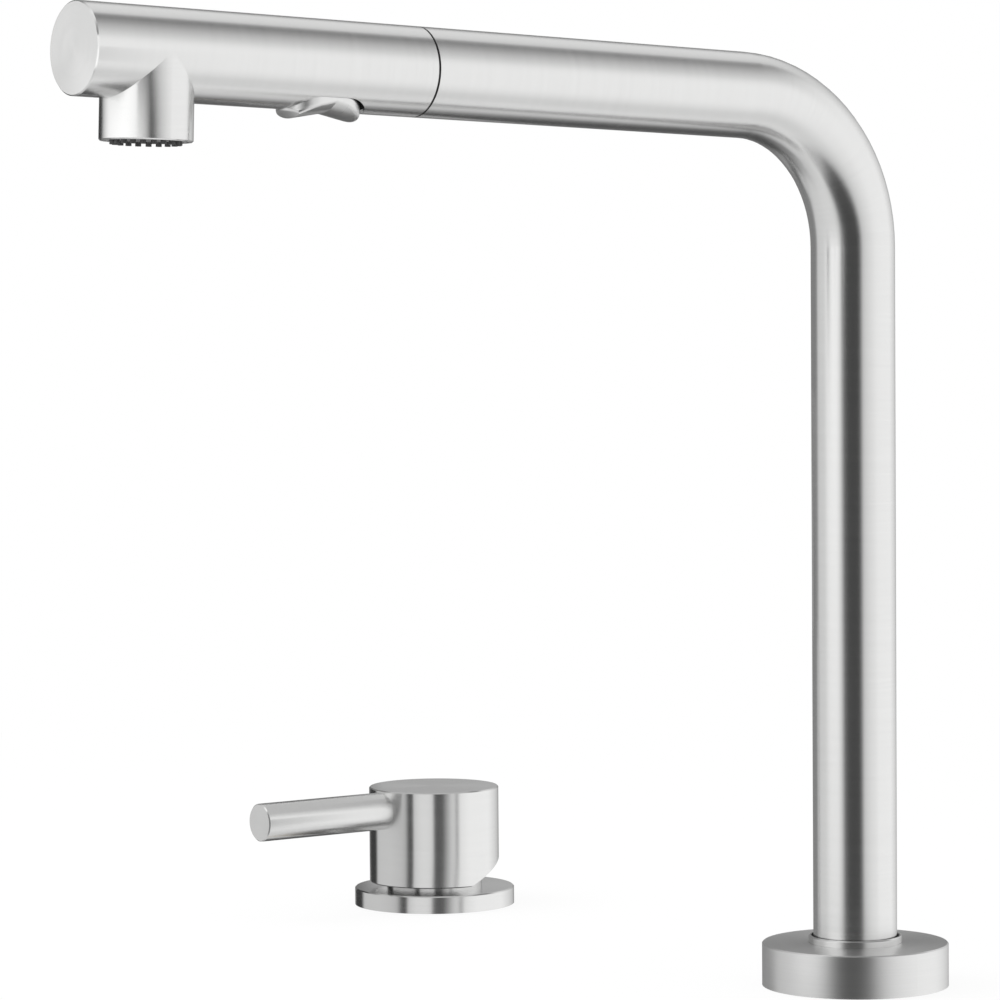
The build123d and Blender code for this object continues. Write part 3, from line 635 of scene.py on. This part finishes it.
def steel(name, grain, grey=0.66, roughness=0.24, stretch=0.7, mark_depth=0.03):
    """Satin steel. Fine marks run one way, with soft bands where the polishing wheel leant harder."""
    material, tree, shader = new_finish(name)
    station, outward, profile = grain(tree)
    slow = scaled(tree, outward, marks_round)
    fine = scaled(tree, steady(tree, (1, 1, 1)), maths(tree, "MULTIPLY", station, marks_along))
    mark_place = vector_maths(tree, "ADD", slow, fine)
    marks = node(tree, "TexNoise", {"Vector": mark_place, "Scale": 1.0, "Detail": 3.0, "Roughness": 0.7})
    band_place = vector_maths(tree, "ADD", slow, scaled(tree, fine, bands_to_marks))
    bands = node(tree, "TexNoise", {"Vector": band_place, "Scale": 1.0, "Detail": 2.0})
    mark = marks.outputs["Fac"]
    band = bands.outputs["Fac"]
    mark_grey = swung(tree, mark, grey, mark_grey_swing)
    shade = maths(tree, "ADD", mark_grey, swung(tree, band, 0, band_grey_swing))
    blue = maths(tree, "MULTIPLY", shade, steel_blue)
    colour = node(tree, "CombineColor", {0: shade, 1: shade, 2: blue})
    tree.links.new(colour.outputs[0], shader.inputs["Base Color"])
    mark_rough = swung(tree, mark, roughness, mark_rough_swing)
    rough = maths(tree, "ADD", mark_rough, swung(tree, band, 0, band_rough_swing))
    tree.links.new(rough, shader.inputs["Roughness"])
    shader.inputs["Metallic"].default_value = 1.0
    shader.inputs["Anisotropic"].default_value = stretch
    tree.links.new(profile, shader.inputs["Tangent"])
    add_relief(tree, shader, mark, mark_depth, mark_height)
    return material


# Cast and moulded finishes
mottle_rough_swing = 0.06
mottle_height = 0.0002


def mottled(name, colour, roughness, metallic=0.0, scale=900.0, swing=0.1, depth=0.15):
    """Cast or moulded finish with a fine mottle in its colour, gloss and surface."""
    material, tree, shader = new_finish(name)
    place = node(tree, "NewGeometry").outputs["Position"]
    noise = node(tree, "TexNoise", {"Vector": place, "Scale": scale, "Detail": 5.0, "Roughness": 0.6})
    fleck = noise.outputs["Fac"]
    factor = swung(tree, fleck, 1, swing)
    tree.links.new(scaled(tree, steady(tree, colour), factor), shader.inputs["Base Color"])
    rough = swung(tree, fleck, roughness, mottle_rough_swing)
    tree.links.new(rough, shader.inputs["Roughness"])
    shader.inputs["Metallic"].default_value = metallic
    add_relief(tree, shader, fleck, depth, mottle_height)
    return material


# Hose cover: painted shade in the gaps between its strands and a painted highlight on their crossings, and
# the roughness of each
gap_painted_shade = 0.6
crossing_painted_highlight = 1.25
gap_roughness = 0.62
crossing_roughness = 0.48
strand_depth = 0.6
strand_height = 0.0003


def braid(name, colour, strand=0.0011, turns=16):
    """Woven nylon hose cover: two sets of strands that wind round the hose and cross. Its colour carries
    painted shade in the gaps and a painted highlight on the crossings.
    """
    material, tree, shader = new_finish(name)
    station, outward, _ = swept(tree)
    parts = node(tree, "SeparateXYZ", {0: outward})
    over = maths(tree, "ADD", maths(tree, "ABSOLUTE", parts.outputs["Z"]), parts.outputs["Y"])
    round_angle = maths(tree, "ARCTAN2", parts.outputs["X"], over)
    wound = maths(tree, "MULTIPLY", round_angle, turns / 2)
    climbed = maths(tree, "MULTIPLY", station, pi / strand)
    left = maths(tree, "SINE", maths(tree, "ADD", climbed, wound))
    right = maths(tree, "SINE", maths(tree, "SUBTRACT", climbed, wound))
    crossing = maths(tree, "MULTIPLY", left, right)
    # Painted shade in the low gaps and a painted highlight on the raised crossings, scaling the colour
    factor = spread(tree, crossing, -1, 1, gap_painted_shade, crossing_painted_highlight)
    tree.links.new(scaled(tree, steady(tree, colour), factor), shader.inputs["Base Color"])
    rough = spread(tree, crossing, -1, 1, gap_roughness, crossing_roughness)
    tree.links.new(rough, shader.inputs["Roughness"])
    add_relief(tree, shader, crossing, strand_depth, strand_height)
    return material


def dress(names, material):
    for name in names:
        for slot in nodes[name].material_slots:
            slot.material = material


def dress_by_slot():
    """Gives every node the finish that its own slot names."""
    finishes = {
        "satin_steel": steel("satin_steel", turned(spout_foot, up)),
        "plain_steel": steel("plain_steel", turned(spout_foot, up), grey=0.55, roughness=0.32),
        "brass": mottled(
            "brass",
            colour=(0.66, 0.50, 0.26),
            roughness=0.30,
            metallic=1.0,
            scale=1400.0,
            swing=0.06,
            depth=0.08,
        ),
        "rubber": mottled("rubber", (0.022, 0.022, 0.023), roughness=0.62),
        "silicone": mottled("silicone", (0.050, 0.050, 0.051), roughness=0.55),
        "black_plastic": mottled("black_plastic", (0.018, 0.018, 0.019), roughness=0.42),
        "grey_plastic": mottled("grey_plastic", (0.22, 0.22, 0.225), roughness=0.42),
        "white_plastic": mottled(
            "white_plastic",
            colour=(0.74, 0.74, 0.72),
            roughness=0.40,
            swing=0.03,
            depth=0.05,
        ),
        "hose_cover": braid("hose_cover", (0.09, 0.09, 0.095)),
        "ceramic": mottled(
            "ceramic",
            colour=(0.82, 0.81, 0.77),
            roughness=0.16,
            swing=0.02,
            depth=0.02,
        ),
    }
    for name, item in nodes.items():
        dress([name], finishes[item.material_slots[0].material.name])


def dress_steel_in_view():
    """Gives the steel pieces that show a grain round their own axes."""
    round_spout = turned(spout_foot, up)
    round_valve = turned(valve_foot, up)
    round_rod = turned(valve_foot + up * rod_height, rod_axis)
    dress(["base_flange"], steel("flange_steel", round_spout, roughness=0.34, stretch=0.5))
    dress(["spout_tube"], steel("spout_steel", swept))
    dress(["spray_body", "spray_end_cap"], steel("spray_steel", spray_head))
    dress(["toggle"], steel("toggle_steel", lengthwise, roughness=0.30, stretch=0.3, mark_depth=0.0))
    dress(["valve_rosette", "valve_body", "lever_cap"], steel("valve_steel", round_valve, roughness=0.19))
    dress(["lever_rod"], steel("rod_steel", round_rod, grey=0.68))


add_camera()
add_world()
add_floor()
add_cards()
add_softbox(place=Vector((-0.7, -0.9, 1.6)), target=Vector((0, -0.1, 0.1)), width=1.2, watts=12)
dress_by_slot()
dress_steel_in_view()

bpy.context.scene.view_settings.view_transform = "Standard"
